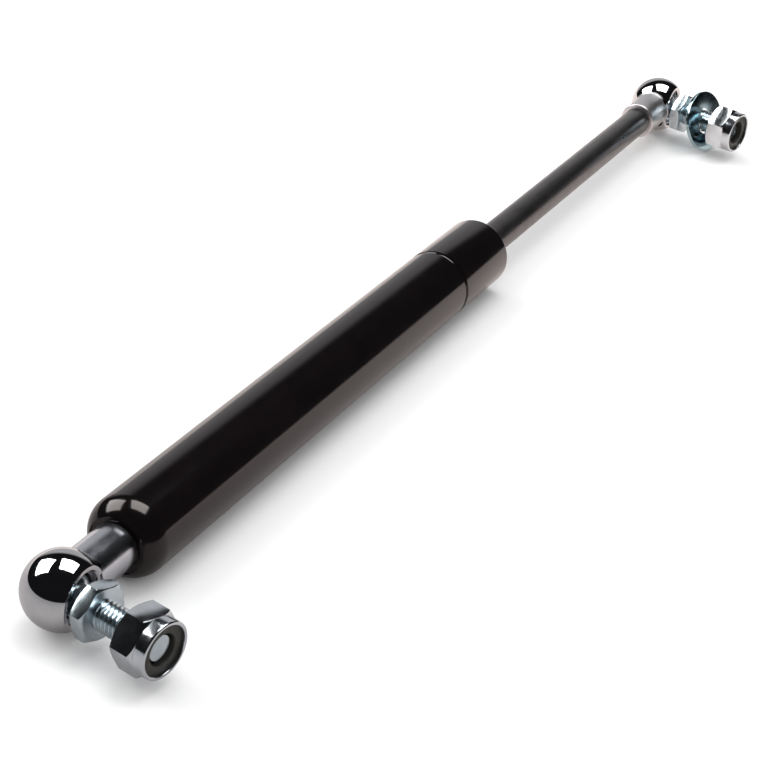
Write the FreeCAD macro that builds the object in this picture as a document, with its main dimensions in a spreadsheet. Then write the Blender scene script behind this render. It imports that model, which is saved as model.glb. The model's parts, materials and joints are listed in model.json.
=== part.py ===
import FreeCAD, Part
import math
import os

import Sketcher

# Gas strut stay: a pressure tube, a sliding piston rod, and a threaded ball joint with a lock nut at each end.
# Working frame: X runs from the tube side ball centre to the rod side ball centre, the studs point to -Y,
# and Z is up. The finished frame has its origin under the middle of the strut, on the surface it lies on.

SIZES = {
    # Whole strut
    "ball_spacing": 400.0,
    "socket_reach": 23.0,
    "stroke": 140.0,
    # Pressure tube
    "tube_radius": 11.0,
    "tube_bore": 9.75,
    "tube_rim": 232.0,
    "tube_tip": 21.0,
    "shoulder_radius": 8.0,
    "recess_radius": 7.8,
    "end_wall": 2.5,
    "bead_place": 200.8,
    "bead_half_width": 0.9,
    "bead_depth": 0.6,
    "rim_rounding": 1.2,
    "lip_bore": 8.0,
    "lip_thickness": 1.2,
    # Piston rod and piston
    "rod_radius": 5.0,
    "rod_chamfer": 0.4,
    "thread_radius": 4.0,
    "thread_depth": 11.6,
    "spigot_radius": 3.5,
    "piston_stop_gap": 0.3,
    "piston_radius": 9.45,
    "piston_length": 8.4,
    "piston_washer_radius": 9.4,
    "piston_washer_length": 1.5,
    "piston_disc_radius": 7.0,
    "piston_disc_length": 1.4,
    "rivet_radius": 4.6,
    "rivet_length": 1.9,
    "ring_groove_radius": 8.0,
    "ring_groove_length": 3.0,
    "ring_outer_radius": 9.7,
    "orifice_radius": 0.6,
    "orifice_circle": 6.0,
    "fit_gap": 0.03,
    # Guide and seal at the rod end of the tube
    "pack_radius": 9.7,
    "seal_washer_length": 1.5,
    "seal_length": 5.9,
    "seal_lip_radius": 5.03,
    "seal_waist_radius": 6.2,
    "guide_bore": 5.05,
    "end_washer_length": 1.2,
    "end_washer_bore": 5.7,
    # Ball sockets
    "head_radius": 10.0,
    "neck_radius": 6.4,
    "neck_chamfer": 0.5,
    "mouth_place": 6.0,
    "mouth_chamfer": 0.5,
    "cavity_radius": 6.55,
    "neck_bore": 4.02,
    "neck_bore_depth": 12.6,
    "clip_hole_radius": 0.8,
    "clip_hole_along": 7.6,
    "clip_hole_out": 4.7,
    "snap_groove_radius": 6.95,
    "snap_place": 3.2,
    "snap_width": 1.2,
    "snap_outer_radius": 6.85,
    "snap_inner_radius": 5.75,
    "snap_gap": 3.0,
    # Ball studs
    "ball_radius": 6.5,
    "stud_neck_radius": 3.7,
    "collar_start": 9.2,
    "collar_end": 13.4,
    "collar_flats": 13.6,
    "grip_radius": 4.0,
    "grip_end": 17.6,
    "relief_end": 18.4,
    "relief_radius": 3.7,
    "stud_thread_radius": 3.97,
    "stud_end": 30.8,
    "stud_chamfer": 0.7,
    # Lock nuts
    "nut_start": 22.7,
    "nut_hex_end": 29.6,
    "nut_end": 32.7,
    "nut_flats": 15.0,
    "nut_bore": 4.05,
    "crown_radius": 7.45,
    "crown_rounding": 1.1,
    "crown_bore": 6.5,
    "insert_seat_radius": 6.9,
    "insert_start": 29.5,
    "insert_end": 31.8,
    "insert_radius": 6.85,
    "insert_bore": 4.05,
    "tube_nut_shift": 0.0,
    "rod_nut_shift": 3.0,
    # Plain washer on the rod side stud
    "washer_place": 20.6,
    "washer_radius": 11.0,
    "washer_bore": 4.75,
    "washer_thickness": 1.4,
    # Rest attitude, in degrees
    "tube_stud_lean": 11.0,
    "rod_stud_lean": 11.0,
    "washer_tip": 19.9,
    "washer_tip_direction": -12.8,
    "tube_collar_turn": 14.0,
    "rod_collar_turn": 22.0,
    "tube_nut_turn": 5.0,
    "rod_nut_turn": 22.0,
    # Shift from the working frame to the finished frame
    "shift_x": 0.0,
    "shift_y": 0.0,
    "shift_z": 0.0,
}

ROOT_THREE = math.sqrt(3.0)
CHAMFER_SLOPE = math.tan(math.radians(30.0))
FULL_TURN = 360.0


class Size:
    """A length together with the sheet formula that gives it."""

    def __init__(self, value, text):
        self.value = value
        self.text = text

    def __add__(self, other):
        other = as_size(other)
        return Size(self.value + other.value, f"({self.text} + {other.text})")

    def __sub__(self, other):
        other = as_size(other)
        return Size(self.value - other.value, f"({self.text} - {other.text})")

    def __mul__(self, factor):
        return Size(self.value * factor, f"({self.text} * {factor:.9f})")

    def __neg__(self):
        return Size(-self.value, f"(-{self.text})")


def as_size(number):
    """Turns a plain number into a Size, and leaves a Size as it is."""
    if isinstance(number, Size):
        return number
    return Size(float(number), f"{float(number):.6f}")


def make_sheet(doc):
    """Writes every driving dimension into the spreadsheet as a cell with an alias."""
    sheet = doc.addObject("Spreadsheet::Sheet", "sizes")
    for row, (alias, value) in enumerate(SIZES.items(), start=1):
        sheet.set(f"A{row}", alias)
        sheet.set(f"B{row}", str(value))
        sheet.setAlias(f"B{row}", alias)
    doc.recompute()
    return sheet


def read_sizes(sheet):
    """Gives each alias as a Size that follows its cell."""
    return {alias: Size(float(sheet.get(alias)), f"sizes.{alias}") for alias in SIZES}


def origin_plane(body, role):
    """Finds one of a body's own origin planes by its role."""
    for feature in body.Origin.OriginFeatures:
        if feature.Role == role:
            return feature
    raise ValueError(f"{body.Label} has no plane {role}")


def new_body(doc, label):
    """Starts a sub-part."""
    body = doc.addObject("PartDesign::Body", label)
    body.Label = label
    return body


def new_sketch(body, name, role="XY_Plane", lift=None):
    """Attaches an empty sketch to an origin plane, lifted along the plane's normal where a lift is given."""
    sketch = body.newObject("Sketcher::SketchObject", name)
    sketch.AttachmentSupport = (origin_plane(body, role), [""])
    sketch.MapMode = "FlatFace"
    if lift is not None:
        sketch.AttachmentOffset = FreeCAD.Placement(
            FreeCAD.Vector(0, 0, lift.value), FreeCAD.Rotation()
        )
        sketch.setExpression("AttachmentOffset.Base.z", lift.text)
    return sketch


def bind(sketch, kind, *where, size):
    """Adds a dimension to a sketch and ties it to its sheet formula."""
    index = sketch.addConstraint(Sketcher.Constraint(kind, *where, size.value))
    sketch.setExpression(f"Constraints[{index}]", size.text)


def pin_point(sketch, line, end, point):
    """Fixes one sketch point by its two coordinates."""
    for axis, kind, size in ((-2, "DistanceX", point[0]), (-1, "DistanceY", point[1])):
        if isinstance(size, (int, float)) and size == 0:
            sketch.addConstraint(Sketcher.Constraint("PointOnObject", line, end, axis))
        else:
            bind(sketch, kind, -1, 1, line, end, size=as_size(size))


def arc_between(start, end, radius, left):
    """Gives the minor arc from start to end, with its centre on the left or the right of the way."""
    chord = end - start
    half = chord.Length / 2
    side = FreeCAD.Vector(-chord.y, chord.x, 0).normalize()
    reach = math.sqrt(max(radius * radius - half * half, 0.0))
    centre = (start + end) * 0.5 + side * (reach if left else -reach)
    first, last = (start, end) if left else (end, start)
    angles = [math.atan2(p.y - centre.y, p.x - centre.x) for p in (first, last)]
    circle = Part.Circle(centre, FreeCAD.Vector(0, 0, 1), radius)
    return Part.ArcOfCircle(circle, angles[0], angles[1])


def profile(sketch, points, arcs=None):
    """Draws a closed outline through points. arcs maps a point's number to the arc that leaves it:
    a radius, and True where the arc's centre lies on the left of the way round."""
    arcs = arcs or {}
    spots = [
        FreeCAD.Vector(as_size(x).value, as_size(y).value, 0) for x, y in points
    ]
    count = len(points)
    ends = []
    for i in range(count):
        start, end = spots[i], spots[(i + 1) % count]
        if i in arcs:
            radius, left = arcs[i]
            line = sketch.addGeometry(arc_between(start, end, radius.value, left), False)
            ends.append((line, 1, 2) if left else (line, 2, 1))
        else:
            line = sketch.addGeometry(Part.LineSegment(start, end), False)
            ends.append((line, 1, 2))
    for i in range(count):
        line, _, last = ends[i]
        follower, first, _ = ends[(i + 1) % count]
        sketch.addConstraint(
            Sketcher.Constraint("Coincident", line, last, follower, first)
        )
    for i in range(count):
        pin_point(sketch, ends[i][0], ends[i][1], points[i])
        if i in arcs:
            bind(sketch, "Radius", ends[i][0], size=arcs[i][0])


def turn(body, kind, name, points, arcs=None, about="H_Axis"):
    """Adds or cuts a full revolution of an outline about a sketch axis."""
    sketch = new_sketch(body, name + "_outline")
    profile(sketch, points, arcs)
    feature = body.newObject("PartDesign::" + kind, name)
    feature.Profile = sketch
    feature.ReferenceAxis = (sketch, [about])
    feature.Angle = FULL_TURN
    return feature


def hexagon(sketch, flats, turned):
    """Draws a hexagon with the given width across flats, turned by an angle in degrees."""
    corner = flats * (1 / ROOT_THREE)
    angles = [math.radians(turned + 60 * k) for k in range(6)]
    profile(sketch, [(corner * math.cos(a), corner * math.sin(a)) for a in angles])


def hex_block(body, name, start, end, flats, turned):
    """Pads a hexagon along +Y from start to end, and breaks its corners at both ends."""
    sketch = new_sketch(body, name + "_hexagon", "XZ_Plane", -start)
    hexagon(sketch, flats, turned)
    pad = body.newObject("PartDesign::Pad", name)
    pad.Profile = sketch
    length = end - start
    pad.Length = length.value
    pad.setExpression("Length", length.text)
    pad.Reversed = True
    edge = flats * 0.485
    rise = flats * ((1 / ROOT_THREE + 0.1 - 0.485) * CHAMFER_SLOPE)
    outside = flats * (1 / ROOT_THREE + 0.1)
    turn(body, "Groove", name + "_inner_chamfer",
         [(edge, start), (outside, start), (outside, start + rise)], about="V_Axis")
    turn(body, "Groove", name + "_outer_chamfer",
         [(edge, end), (outside, end - rise), (outside, end)], about="V_Axis")


def ring(body, name, inner, outer, start, end, about="H_Axis", kind="Revolution"):
    """A plain ring between two radii and two places along its axis."""
    if about == "H_Axis":
        points = [(start, inner), (end, inner), (end, outer), (start, outer)]
    else:
        points = [(inner, start), (outer, start), (outer, end), (inner, end)]
    return turn(body, kind, name, points, about=about)


def pressure_tube(doc, dims):
    """Closed tube with a domed end, a rolled bead and a lip rolled over the guide."""
    body = new_body(doc, "pressure_tube")
    tip, radius, shoulder = dims["tube_tip"], dims["tube_radius"], dims["shoulder_radius"]
    recess = dims["recess_radius"]
    flank = radius - shoulder
    rise = math.sqrt(shoulder.value ** 2 - (recess.value - flank.value) ** 2)
    edge = tip + shoulder - rise
    floor = dims["socket_reach"]
    bore, rim = dims["tube_bore"], dims["tube_rim"]
    bead, half, depth = dims["bead_place"], dims["bead_half_width"], dims["bead_depth"]
    bead_radius = Size(
        (half.value ** 2 + depth.value ** 2) / (2 * depth.value),
        f"(({half.text}^2 + {depth.text}^2) / (2 * {depth.text}))",
    )
    rounding = dims["rim_rounding"]
    inside = floor + dims["end_wall"]
    inner_corner = shoulder - (radius - bore)
    points = [
        (floor, 0), (floor, recess), (edge, recess),
        (tip + shoulder, radius), (bead - half, radius), (bead + half, radius),
        (rim - rounding, radius), (rim, radius - rounding), (rim, dims["lip_bore"]),
        (rim - dims["lip_thickness"], dims["lip_bore"]), (rim - dims["lip_thickness"], bore),
        (bead + half, bore), (bead - half, bore),
        (inside + inner_corner, bore), (inside, bore - inner_corner), (inside, 0),
    ]
    arcs = {
        2: (shoulder, False),
        4: (bead_radius, True),
        6: (rounding, False),
        11: (bead_radius, False),
        13: (inner_corner, True),
    }
    turn(body, "Revolution", "tube_wall", points, arcs)
    return body


def tube_thread_stud(doc, dims):
    """Threaded stud welded into the tube's closed end, which carries the tube side socket."""
    body = new_body(doc, "tube_thread_stud")
    end = dims["socket_reach"]
    start = end - dims["thread_depth"]
    radius, chamfer = dims["thread_radius"], dims["stud_chamfer"]
    turn(body, "Revolution", "welded_stud", [
        (start, 0), (end, 0), (end, radius), (start + chamfer, radius),
        (start, radius - chamfer),
    ])
    return body


def piston_places(dims):
    """Places along X of the pieces that are riveted to the rod's inner end."""
    shoulder = dims["bead_place"] - dims["bead_half_width"] - dims["piston_stop_gap"]
    washer = shoulder - dims["piston_washer_length"]
    piston = washer - dims["piston_length"]
    disc = piston - dims["piston_disc_length"]
    rivet = disc - dims["rivet_length"]
    return {"shoulder": shoulder, "washer": washer, "piston": piston, "disc": disc, "rivet": rivet}


def piston_rod(doc, dims):
    """Ground rod with a riveted spigot inside the tube and a threaded end in the rod side socket."""
    body = new_body(doc, "piston_rod")
    places = piston_places(dims)
    face = dims["ball_spacing"] - dims["socket_reach"]
    end = face + dims["thread_depth"]
    spigot, rod, thread = dims["spigot_radius"], dims["rod_radius"], dims["thread_radius"]
    chamfer, small = dims["stud_chamfer"], dims["rod_chamfer"]
    turn(body, "Revolution", "rod_bar", [
        (places["rivet"], 0), (end, 0), (end, thread - chamfer), (end - chamfer, thread),
        (face, thread), (face, rod - small), (face - small, rod),
        (places["shoulder"], rod), (places["shoulder"], spigot),
        (places["disc"], spigot), (places["disc"], dims["rivet_radius"]),
        (places["rivet"] + small, dims["rivet_radius"]),
        (places["rivet"], dims["rivet_radius"] - small),
    ])
    return body


def piston(doc, dims):
    """Piston with a ring groove and a bleed hole that meters the gas."""
    body = new_body(doc, "piston")
    places = piston_places(dims)
    start, end = places["piston"], places["washer"]
    middle = (start + end) * 0.5
    half = dims["ring_groove_length"] * 0.5
    inner = dims["spigot_radius"] + dims["fit_gap"]
    outer, groove = dims["piston_radius"], dims["ring_groove_radius"]
    turn(body, "Revolution", "piston_block", [
        (start, inner), (end, inner), (end, outer), (middle + half, outer),
        (middle + half, groove), (middle - half, groove), (middle - half, outer), (start, outer),
    ])
    sketch = new_sketch(body, "orifice_circle", "YZ_Plane", start)
    place = dims["orifice_circle"]
    circle = Part.Circle(
        FreeCAD.Vector(place.value, 0, 0), FreeCAD.Vector(0, 0, 1), dims["orifice_radius"].value
    )
    line = sketch.addGeometry(circle, False)
    bind(sketch, "Radius", line, size=dims["orifice_radius"])
    bind(sketch, "DistanceX", -1, 1, line, 3, size=place)
    sketch.addConstraint(Sketcher.Constraint("PointOnObject", line, 3, -1))
    doc.recompute()
    before = body.Shape.Volume
    pocket = body.newObject("PartDesign::Pocket", "orifice")
    pocket.Profile = sketch
    pocket.Type = "Length"
    pocket.Reversed = True
    pocket.Length = dims["piston_length"].value
    pocket.setExpression("Length", dims["piston_length"].text)
    doc.recompute()
    if not body.Shape.Volume < before:
        raise ValueError("the orifice cuts nothing")
    return body


def piston_pieces(doc, dims):
    """Ring, support washer and metering disc around the piston."""
    places = piston_places(dims)
    clearance = 0.05
    middle = (places["piston"] + places["washer"]) * 0.5
    half = dims["ring_groove_length"] * 0.5 - clearance
    piston_ring = new_body(doc, "piston_ring")
    ring(piston_ring, "split_ring", dims["ring_groove_radius"] + clearance,
         dims["ring_outer_radius"], middle - half, middle + half)
    inner = dims["spigot_radius"] + dims["fit_gap"]
    washer = new_body(doc, "piston_washer")
    ring(washer, "support_washer", inner, dims["piston_washer_radius"],
         places["washer"], places["shoulder"])
    disc = new_body(doc, "piston_disc")
    ring(disc, "metering_disc", inner, dims["piston_disc_radius"],
         places["disc"], places["piston"])
    return [piston_ring, washer, disc]


def guide_pack(doc, dims):
    """Washer, lip seal, guide bush and end washer, held between the tube's bead and its lip."""
    outer = dims["pack_radius"]
    start = dims["bead_place"] + dims["bead_half_width"]
    seal_start = start + dims["seal_washer_length"]
    guide_start = seal_start + dims["seal_length"]
    guide_end = dims["tube_rim"] - dims["lip_thickness"] - dims["end_washer_length"]
    end_washer_end = dims["tube_rim"] - dims["lip_thickness"]
    seal_washer = new_body(doc, "seal_washer")
    ring(seal_washer, "backing_washer", dims["end_washer_bore"], outer, start, seal_start)
    seal = new_body(doc, "rod_seal")
    lip, waist = dims["seal_lip_radius"], dims["seal_waist_radius"]
    lip_length = 1.4
    slope = 0.8
    turn(seal, "Revolution", "lip_seal", [
        (seal_start, lip), (seal_start + lip_length, lip),
        (seal_start + lip_length + slope, waist), (guide_start - lip_length - slope, waist),
        (guide_start - lip_length, lip), (guide_start, lip), (guide_start, outer), (seal_start, outer),
    ])
    guide = new_body(doc, "rod_guide")
    ring(guide, "guide_bush", dims["guide_bore"], outer, guide_start, guide_end)
    end_washer = new_body(doc, "tube_end_washer")
    ring(end_washer, "cover_washer", dims["end_washer_bore"], outer, guide_end, end_washer_end)
    return [seal_washer, seal, guide, end_washer]


def ball_socket(doc, dims, label):
    """Turned head and neck with a ball cavity, a snap ring groove, a thread bore and a clip hole.
    The neck runs along +X and the mouth opens to +Y."""
    body = new_body(doc, label)
    head, neck, mouth = dims["head_radius"], dims["neck_radius"], dims["mouth_place"]
    rim = Size(
        math.sqrt(head.value ** 2 - mouth.value ** 2), f"sqrt({head.text}^2 - {mouth.text}^2)"
    )
    back = -head
    turn(body, "Revolution", "head", [(0, back), (head, 0), (rim, mouth), (0, mouth)],
         {0: (head, True), 1: (head, True)}, about="V_Axis")
    reach, chamfer = dims["socket_reach"], dims["neck_chamfer"]
    turn(body, "Revolution", "neck", [
        (0, 0), (reach, 0), (reach, neck - chamfer), (reach - chamfer, neck), (0, neck),
    ])
    cavity, rim_chamfer = dims["cavity_radius"], dims["mouth_chamfer"]
    turn(body, "Groove", "cavity", [
        (0, -cavity), (cavity, 0), (cavity, mouth - rim_chamfer),
        (cavity + rim_chamfer, mouth), (cavity + rim_chamfer, mouth + 1), (0, mouth + 1),
    ], {0: (cavity, True)}, about="V_Axis")
    ring(body, "snap_groove", cavity - 1, dims["snap_groove_radius"], dims["snap_place"],
         dims["snap_place"] + dims["snap_width"], about="V_Axis", kind="Groove")
    ring(body, "thread_bore", 0, dims["neck_bore"], reach - dims["neck_bore_depth"],
         reach + 1, kind="Groove")
    sketch = new_sketch(body, "clip_hole_circle", "XY_Plane")
    along, out = dims["clip_hole_along"], dims["clip_hole_out"]
    circle = Part.Circle(
        FreeCAD.Vector(along.value, out.value, 0), FreeCAD.Vector(0, 0, 1),
        dims["clip_hole_radius"].value,
    )
    line = sketch.addGeometry(circle, False)
    bind(sketch, "Radius", line, size=dims["clip_hole_radius"])
    bind(sketch, "DistanceX", -1, 1, line, 3, size=along)
    bind(sketch, "DistanceY", -1, 1, line, 3, size=out)
    doc.recompute()
    before = body.Shape.Volume
    hole = body.newObject("PartDesign::Pocket", "clip_hole")
    hole.Profile = sketch
    hole.Type = "Length"
    hole.Midplane = True
    hole.Length = head.value * 2
    hole.setExpression("Length", f"{head.text} * 2")
    doc.recompute()
    if not body.Shape.Volume < before:
        raise ValueError("the clip hole cuts nothing")
    return body


def snap_ring(doc, dims, label):
    """Split ring that keeps the ball in its socket."""
    body = new_body(doc, label)
    clearance = 0.1
    start = dims["snap_place"] + clearance
    end = dims["snap_place"] + dims["snap_width"] - clearance
    ring(body, "wire", dims["snap_inner_radius"], dims["snap_outer_radius"], start, end,
         about="V_Axis")
    sketch = new_sketch(body, "gap_outline", "XZ_Plane", -start)
    half = dims["snap_gap"] * 0.5
    outside = dims["snap_outer_radius"] + 1
    profile(sketch, [(-outside, -half), (0, -half), (0, half), (-outside, half)])
    doc.recompute()
    before = body.Shape.Volume
    gap = body.newObject("PartDesign::Pocket", "gap")
    gap.Profile = sketch
    gap.Type = "Length"
    gap.Reversed = False
    gap.Midplane = True
    width = dims["snap_width"] * 3
    gap.Length = width.value
    gap.setExpression("Length", width.text)
    doc.recompute()
    if not body.Shape.Volume < before:
        raise ValueError("the snap ring has no gap")
    return body


def ball_stud(doc, dims, label, hex_turn):
    """Ball, neck, hexagon collar and threaded shank in one turned piece, along +Y."""
    body = new_body(doc, label)
    ball, neck = dims["ball_radius"], dims["stud_neck_radius"]
    meet = Size(
        math.sqrt(ball.value ** 2 - neck.value ** 2), f"sqrt({ball.text}^2 - {neck.text}^2)"
    )
    inside = (dims["collar_start"] + dims["collar_end"]) * 0.5
    grip, thread, end = dims["grip_radius"], dims["stud_thread_radius"], dims["stud_end"]
    relief, chamfer = dims["relief_radius"], dims["stud_chamfer"]
    turn(body, "Revolution", "ball_and_shank", [
        (0, -ball), (ball, 0), (neck, meet), (neck, inside), (grip, inside),
        (grip, dims["grip_end"]), (relief, dims["grip_end"]), (relief, dims["relief_end"]),
        (thread, dims["relief_end"]), (thread, end - chamfer),
        (thread - chamfer, end), (0, end),
    ], {0: (ball, True), 1: (ball, True)}, about="V_Axis")
    hex_block(body, "collar", dims["collar_start"], dims["collar_end"], dims["collar_flats"], hex_turn)
    return body


def lock_nut(doc, dims, label, hex_turn, shift):
    """Hexagon nut with a round crown rolled over its nylon ring, along +Y."""
    body = new_body(doc, label)
    start, waist, end = dims["nut_start"] + shift, dims["nut_hex_end"] + shift, dims["nut_end"] + shift
    seat_start, seat_end = dims["insert_start"] + shift, dims["insert_end"] + shift + 0.05
    hex_block(body, "hexagon", start, waist, dims["nut_flats"], hex_turn)
    crown, rounding = dims["crown_radius"], dims["crown_rounding"]
    turn(body, "Revolution", "crown", [
        (0, waist - 1), (crown, waist - 1), (crown, end - rounding),
        (crown - rounding, end), (0, end),
    ], {2: (rounding, True)}, about="V_Axis")
    bore, seat = dims["nut_bore"], dims["insert_seat_radius"]
    lip = dims["crown_bore"]
    turn(body, "Groove", "bore", [
        (0, start - 1), (bore + 1, start - 1), (bore + 0.6, start), (bore, start + 0.6),
        (bore, seat_start), (seat, seat_start), (seat, seat_end),
        (lip, seat_end), (lip, end + 1), (0, end + 1),
    ], about="V_Axis")
    return body


def nut_insert(doc, dims, label, shift):
    """Nylon ring that grips the thread, held in the nut's crown."""
    body = new_body(doc, label)
    ring(body, "nylon_ring", dims["insert_bore"], dims["insert_radius"],
         dims["insert_start"] + shift + 0.05, dims["insert_end"] + shift, about="V_Axis")
    return body


def plain_washer(doc, dims, label):
    """Large flat washer."""
    body = new_body(doc, label)
    half = dims["washer_thickness"] * 0.5
    outer, edge = dims["washer_radius"], 0.2
    turn(body, "Revolution", "washer_plate", [
        (dims["washer_bore"], -half), (outer - edge, -half), (outer, -half + edge),
        (outer, half), (dims["washer_bore"], half),
    ], about="V_Axis")
    return body


def stud_placement(ball, lean):
    """Turns a stud's own +Y to the working frame's -Y, leaning towards -X by an angle in degrees."""
    upright = FreeCAD.Vector(0, 0, 1)
    return FreeCAD.Placement(ball, FreeCAD.Rotation(upright, 180.0 - lean))


def washer_placement(stud, dims):
    """Hangs the washer on its stud, tipped as far as its loose hole allows."""
    along = FreeCAD.Vector(0, dims["washer_place"].value, 0)
    direction = math.radians(dims["washer_tip_direction"].value)
    hinge = FreeCAD.Vector(math.cos(direction), 0, math.sin(direction))
    tip = FreeCAD.Rotation(hinge, dims["washer_tip"].value)
    return stud.multiply(FreeCAD.Placement(along, tip))


def build(doc, dims):
    """Makes every sub-part and gives it its place in the working frame."""
    here = FreeCAD.Placement()
    placed = [(pressure_tube(doc, dims), here), (tube_thread_stud(doc, dims), here)]
    placed.append((piston_rod(doc, dims), here))
    placed.append((piston(doc, dims), here))
    placed += [(body, here) for body in piston_pieces(doc, dims)]
    placed += [(body, here) for body in guide_pack(doc, dims)]
    far = FreeCAD.Vector(dims["ball_spacing"].value, 0, 0)
    ends = {
        "tube": (FreeCAD.Vector(), FreeCAD.Vector(1, 0, 0)),
        "rod": (far, FreeCAD.Vector(0, 0, 1)),
    }
    for name, (ball, flip_axis) in ends.items():
        side = name + "_side"
        flipped = FreeCAD.Placement(ball, FreeCAD.Rotation(flip_axis, 180.0))
        stud = stud_placement(ball, dims[name + "_stud_lean"].value)
        collar_turn, nut_turn = dims[name + "_collar_turn"].value, dims[name + "_nut_turn"].value
        shift = dims[name + "_nut_shift"]
        placed.append((ball_socket(doc, dims, side + "_socket"), flipped))
        placed.append((snap_ring(doc, dims, side + "_snap_ring"), flipped))
        placed.append((ball_stud(doc, dims, side + "_ball_stud", collar_turn), stud))
        placed.append((lock_nut(doc, dims, side + "_lock_nut", nut_turn, shift), stud))
        placed.append((nut_insert(doc, dims, side + "_nut_insert", shift), stud))
        if name == "rod":
            placed.append((plain_washer(doc, dims, side + "_washer"), washer_placement(stud, dims)))
    for body, placement in placed:
        body.Placement = placement
    doc.recompute()
    return [body for body, _ in placed]


def settle(doc, sheet, bodies):
    """Moves everything so that the origin is under the middle of the strut, on the surface it lies on."""
    box = FreeCAD.BoundBox()
    for body in bodies:
        box.add(body.Shape.optimalBoundingBox(False))
    shift = FreeCAD.Vector(-box.Center.x, -box.Center.y, -box.ZMin)
    for axis, value in zip("xyz", shift):
        sheet.set(sheet.getCellFromAlias("shift_" + axis), str(value))
    doc.recompute()
    for body in bodies:
        for axis in "xyz":
            base = getattr(body.Placement.Base, axis)
            body.setExpression(f"Placement.Base.{axis}", f"{base:.9f} + sizes.shift_{axis}")
    doc.recompute()
    return shift


def check(doc, bodies):
    """Stops if any object failed or any sub-part has no valid solid."""
    for item in doc.Objects:
        if "Invalid" in item.State or "Error" in item.State:
            raise ValueError(f"{item.Label} failed: {item.State}")
    for body in bodies:
        if body.Shape.isNull() or not body.Shape.isValid() or not body.Shape.Solids:
            raise ValueError(f"{body.Label} has no valid solid")


def main():
    """Builds the strut and writes one file per sub-part."""
    doc = FreeCAD.newDocument("gas_strut_stay")
    sheet = make_sheet(doc)
    bodies = build(doc, read_sizes(sheet))
    shift = settle(doc, sheet, bodies)
    check(doc, bodies)
    os.makedirs("parts", exist_ok=True)
    for body in bodies:
        body.Shape.exportStep(os.path.join("parts", body.Label + ".step"))
    print("shift", [round(value, 6) for value in shift])
    for body in bodies:
        box = body.Shape.BoundBox
        print(body.Label, len(body.Shape.Solids), round(body.Shape.Volume, 1),
              [round(v, 2) for v in (box.XMin, box.YMin, box.ZMin, box.XMax, box.YMax, box.ZMax)])


main()
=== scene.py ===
import json
import logging
import math
from dataclasses import dataclass
from enum import Enum

import bmesh
import bpy
from mathutils import Matrix, Quaternion, Vector


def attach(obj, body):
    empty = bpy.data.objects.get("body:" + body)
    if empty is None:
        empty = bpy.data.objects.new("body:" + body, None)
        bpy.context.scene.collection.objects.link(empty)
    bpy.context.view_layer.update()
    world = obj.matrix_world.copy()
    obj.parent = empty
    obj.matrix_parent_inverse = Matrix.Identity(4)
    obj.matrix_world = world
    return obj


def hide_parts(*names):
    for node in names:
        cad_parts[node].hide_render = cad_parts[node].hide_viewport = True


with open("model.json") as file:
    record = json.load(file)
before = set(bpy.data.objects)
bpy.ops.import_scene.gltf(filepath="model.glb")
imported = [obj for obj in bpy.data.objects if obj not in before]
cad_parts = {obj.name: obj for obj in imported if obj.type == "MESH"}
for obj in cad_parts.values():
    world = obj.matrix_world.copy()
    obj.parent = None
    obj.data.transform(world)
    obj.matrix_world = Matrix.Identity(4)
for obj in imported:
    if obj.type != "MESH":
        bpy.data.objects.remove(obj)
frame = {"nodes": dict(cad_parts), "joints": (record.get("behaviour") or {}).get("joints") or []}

LOG = logging.getLogger("gas_strut_stay")
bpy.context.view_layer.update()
MM = 0.001
UP = Vector((0.0, 0.0, 1.0))
ALONG = Vector((1.0, 0.0, 0.0))
MOUTH_WAY = Vector((0.0, -1.0, 0.0))
JOINTS = {joint["name"]: joint for joint in frame["joints"]}

LARGEST_CORNER_SHARE = 0.48
ON_AXIS = 1e-9
WELD = 1e-5
TOLERANCE = 1e-4
THREAD_WELD = 1e-3
CHAMFER_SLOPE = math.tan(math.radians(30.0))
CHAMFER_SHARE = 0.485
HEXAGON_SOFTENING = 0.12
GLOSS_SCALE = 2.3
RELIEF_SCALE = 9.0
RINGS_PER_METRE = 2600.0
RING_WANDER = 0.3

Colour = tuple[float, float, float]
Outline = list[tuple[float, float]]
Mesh = bmesh.types.BMesh
Edge = bmesh.types.BMEdge
Object = bpy.types.Object
Material = bpy.types.Material
Tree = bpy.types.NodeTree
Node = bpy.types.Node
Socket = bpy.types.NodeSocket


class Side(Enum):
    """The two ends of the strut, named after what each ball socket is screwed to."""

    TUBE = "tube"
    ROD = "rod"

    @property
    def node_prefix(self) -> str:
        """Start of the names of this end's CAD nodes."""
        return self.value + "_side_"

    @property
    def ball(self) -> Vector:
        """Centre of this end's ball, in metres."""
        return Vector(JOINTS[self.value + "_stud_spin"]["pos_m"])

    @property
    def stud(self) -> Vector:
        """Unit vector from the ball along this end's stud."""
        return Vector(JOINTS[self.value + "_nut_turn"]["axis"]).normalized()

    @property
    def neck(self) -> Vector:
        """Unit vector from the ball along this end's socket neck."""
        return ALONG if self is Side.TUBE else -ALONG

    @property
    def socket_body(self) -> str:
        """Body that the socket belongs to."""
        return "cylinder" if self is Side.TUBE else "rod"


@dataclass(frozen=True)
class Corner:
    """One corner of a turned outline, in millimetres.

    Args:
        along: Place along the turning axis.
        radius: Distance from the axis.
        rounding: Radius of the arc that replaces the corner.
    """

    along: float
    radius: float
    rounding: float = 0.0


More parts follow.
